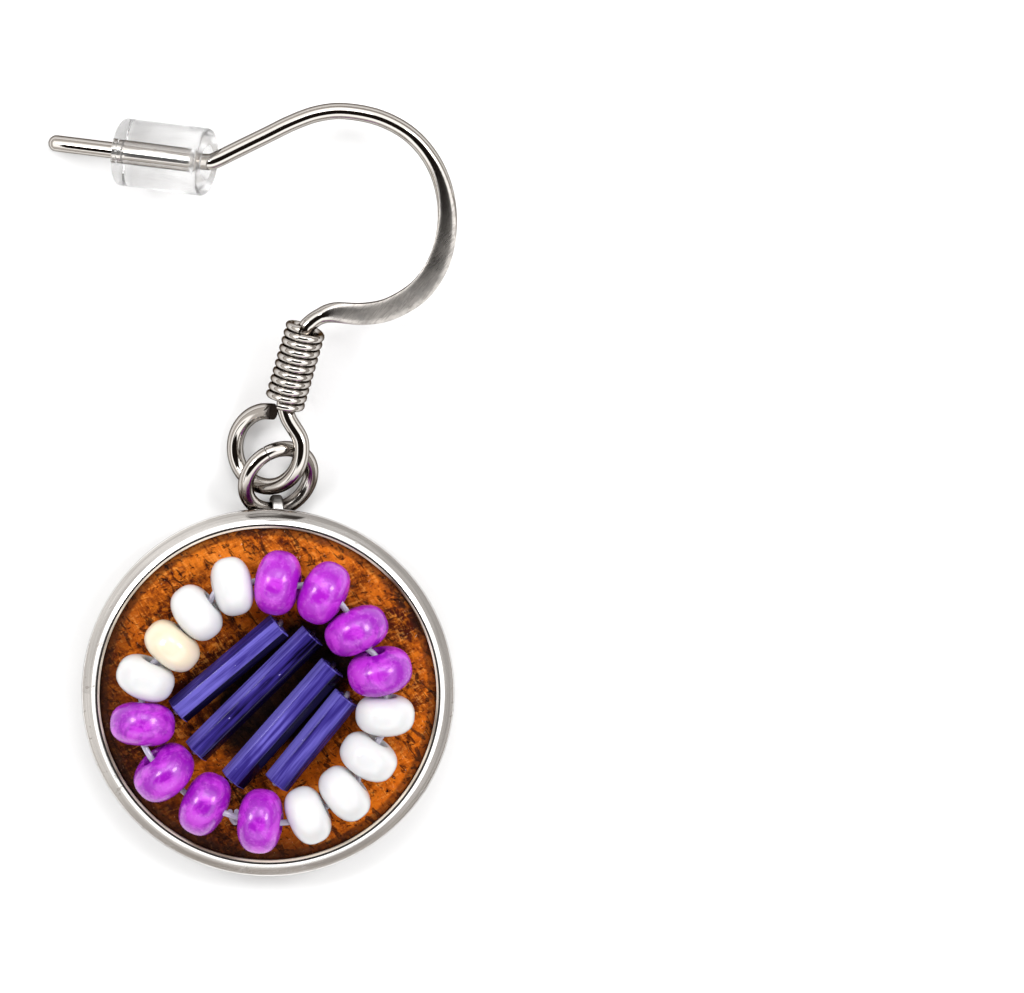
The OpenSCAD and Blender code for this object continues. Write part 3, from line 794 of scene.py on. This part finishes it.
# Hammering: each ring of the mesh is pressed towards the wire's own middle, into two
# flats with round edges. How far it is pressed is kept for the finish.
per_ring = len(hook.data.vertices) // len(rows)
blows = hook.data.attributes.new("hammered", "FLOAT", "POINT")
for index, point in enumerate(hook.data.vertices):
    x, y, z, width, thick = rows[min(index // per_ring, len(rows) - 1)]
    if thick < width - LEAST_FLAT:
        off = (point.co.z / MM - z) / (width / 2)
        flatness = min(2 * (1 - thick / width), 1)
        pressed = min(abs(off), 1) ** (1 - 0.8 * flatness) * (1 if off > 0 else -1)
        outward = (hypot(point.co.x / MM - BOW_MID[0], point.co.y / MM - BOW_MID[1])
                   - hypot(x - BOW_MID[0], y - BOW_MID[1]))
        lean = FACE_LEAN * flatness * outward
        point.co.z = (z + thick / 2 * pressed - lean) * MM
        blows.data[index].value = flatness
close_up(hook, smooth_below=40)
dress(hook, bright_steel, "wire_steel", "ear_hook")


# Coil: thinner steel wire, wound close round the stem above the eye.
COIL_D, COIL_WIRE_D, COIL_TURNS, COIL_START = 1.62, 0.38, 10, 110
stem = STEM_NECK - STEM_FOOT
stem_way = stem.normalized()
coil_pitch = stem.length / (COIL_TURNS - 0.5)
coil = wire_section("wound_coil", COIL_WIRE_D, COIL_D, sides=14)
winding = coil.modifiers.new("winding", "SCREW")
winding.axis, winding.angle, winding.iterations = "Z", 2 * pi, COIL_TURNS
winding.screw_offset = coil_pitch * MM
winding.steps = winding.render_steps = 40
bpy.ops.object.modifier_apply(modifier="winding")
close_up(coil, smooth_below=50)
side_way = stem_way.cross(Vector((0, 0, 1))).normalized()
lift_way = stem_way.cross(side_way)
stem_mid = (STEM_FOOT + STEM_NECK) / 2
along_stem = Matrix((side_way, lift_way, stem_way)).transposed().to_4x4()
put(coil, shift(*stem_mid) @ along_stem @ turn(-COIL_START, "Z")
    @ shift(0, 0, -coil_pitch * COIL_TURNS / 2))
dress(coil, bright_steel, "wire_steel", "hook_coil")


# Stopper: a clear silicone tube that slides on the tail and keeps the hook in the
# ear. Its bore is tight on the wire, and opens into a funnel at the bend.
STOPPER_R, STOPPER_L, STOPPER_TOP, STOPPER_EDGE = 1.64, 4.4, 0.2, 0.16
BORE, FUNNEL_R, FUNNEL_L = 0.37, 0.85, 0.7
foot = STOPPER_TOP - STOPPER_L
corner = [(STOPPER_EDGE * (1 - sin(radians(a))), STOPPER_EDGE * (1 - cos(radians(a))))
          for a in range(0, 91, 15)]
stopper = turned("clear_stopper", [
    (BORE, foot + 0.05), (BORE + 0.05, foot),
    *[(STOPPER_R - inset, foot + up) for inset, up in corner],
    *[(STOPPER_R - inset, STOPPER_TOP - up) for inset, up in reversed(corner)],
    (FUNNEL_R, STOPPER_TOP), (BORE, STOPPER_TOP - FUNNEL_L),
], sides=96, bored=True)
put(stopper, shift(*TAIL_END) @ point_along(tail_way))
clear_silicone = Finish("clear_silicone", Base_Color=(0.97, 0.97, 0.97), IOR=1.41,
                        Transmission_Weight=0.95, Specular_IOR_Level=0.5)
at = clear_silicone.place
upright = at.normal().axis("Z").size()
drag = at.grain(0.22, 3, 0.6, long=(16, 1, 1), lie=-3.5)
# Faint drag streaks, and painted shade that greys the sides of the tube
clear = (drag.above(0.50, 0.66) * 0.2 + 1 - upright.above(0.05, 0.50)).mix(
    (0.97, 0.97, 0.97), (0.52, 0.52, 0.52))
clear_silicone.feed("Base Color", clear)
funnel_end = at.axis("X").above(-4.15 * MM, -3.70 * MM)
clear_silicone.feed("Roughness", at.grain(0.6, 3) * 0.02 + 0.005 + funnel_end * 0.25)
clear_silicone.bump(at.grain(1.4, 3), 0.006)
dress(stopper, clear_silicone, "clear_silicone", "ear_stopper", body="stopper")


# White surface, soft daylight from all round, and the camera, which looks down with
# a small lean from the side of the hook.
SURFACE_W = 1.2
start_afresh()
bpy.ops.mesh.primitive_plane_add(size=SURFACE_W)
surface = bpy.context.object
surface.name = surface.data.name = "white_surface"
paper = Finish("white_paper", Roughness=0.7, Specular_IOR_Level=0.2,
               Emission_Color=(1.0, 1.0, 1.0), Emission_Strength=0.11)
at = paper.place
paper.feed("Base Color", at.grain(4, 2).mix((0.77, 0.77, 0.775), (0.79, 0.79, 0.79)))
paper.bump(at.grain(0.2, 3), 0.01)
surface.data.materials.append(paper.material)

# The room that the metal reflects: a pale floor, grey walls that are brown at their
# foot, a ring of light above them, and a dark ceiling and a dark beam inside the ring
CEILING_EDGE = [sin(radians(a)) ** 2 for a in (25, 31)]
sky = bpy.data.worlds.new("soft_daylight")
bpy.context.scene.world = sky
sky.use_nodes = True
way = Flow(sky.node_tree).node("TexCoord", out="Generated")
across, along, up = way.axis("X"), way.axis("Y"), way.axis("Z")
light = across.above(-0.8, 0.5).mix((0.80, 0.765, 0.73), (0.53, 0.50, 0.475))
light = up.above(0.03, 0.14).mix((0.24, 0.19, 0.15), light)
light = up.above(0.42, 0.48).mix(light, (1.9, 1.9, 1.9))
light = up.above(-0.02, -0.01).mix((0.9, 0.9, 0.9), light)
ceiling = ((across + 0.10 * up) * 0.75) ** 2 + (along + 0.06 * up) ** 2
beam = (0.19 * up - (across + 0.90 * up - 0.18 * along).size()).above(0, 0.04) * (
    0.58 * up - (along + 0.38 * up).size()).above(0, 0.04)
dark = 1 - ceiling.above(*CEILING_EDGE)
light = dark.math("MAXIMUM", dark, beam).mix(light, (0.014, 0.010, 0.008))
back = sky.node_tree.nodes["Background"]
sky.node_tree.links.new(light.socket, back.inputs["Color"])
back.inputs["Strength"].default_value = 1.0

# Three soft lamps, turned towards the eye of the hook. Columns: place, width and strength
LAMPS_AIM = Vector((0, 0.012, 0))
LAMPS = [
    ((-0.21, 0.12, 0.26), 0.10, 0.42),
    ((0.21, 0.11, 0.26), 0.10, 0.38),
    ((0.02, 0.20, 0.26), 0.12, 0.14),
]
for place, width, strength in LAMPS:
    bpy.ops.object.light_add(type="AREA", location=place)
    lamp = bpy.context.object
    lamp.data.size, lamp.data.energy = width, strength
    aim = LAMPS_AIM - Vector(place)
    lamp.rotation_euler = aim.to_track_quat("-Z", "Y").to_euler()

LEAN, VIEW_W, VIEW_X, VIEW_UP, VIEW_FAR = radians(9.5), 0.04942, 0.011775, 0.009155, 0.3
to_camera = Vector((0, sin(LEAN), cos(LEAN)))
bpy.ops.object.camera_add()
camera = bpy.context.object
camera.data.type, camera.data.ortho_scale = "ORTHO", VIEW_W
camera.data.clip_start, camera.data.clip_end = 0.01, 3
camera.location = Vector((VIEW_X, VIEW_UP / cos(LEAN), 0)) + VIEW_FAR * to_camera
camera.rotation_euler = (-LEAN, 0, 0)
bpy.context.scene.camera = camera
bpy.context.scene.view_settings.view_transform = "Standard"
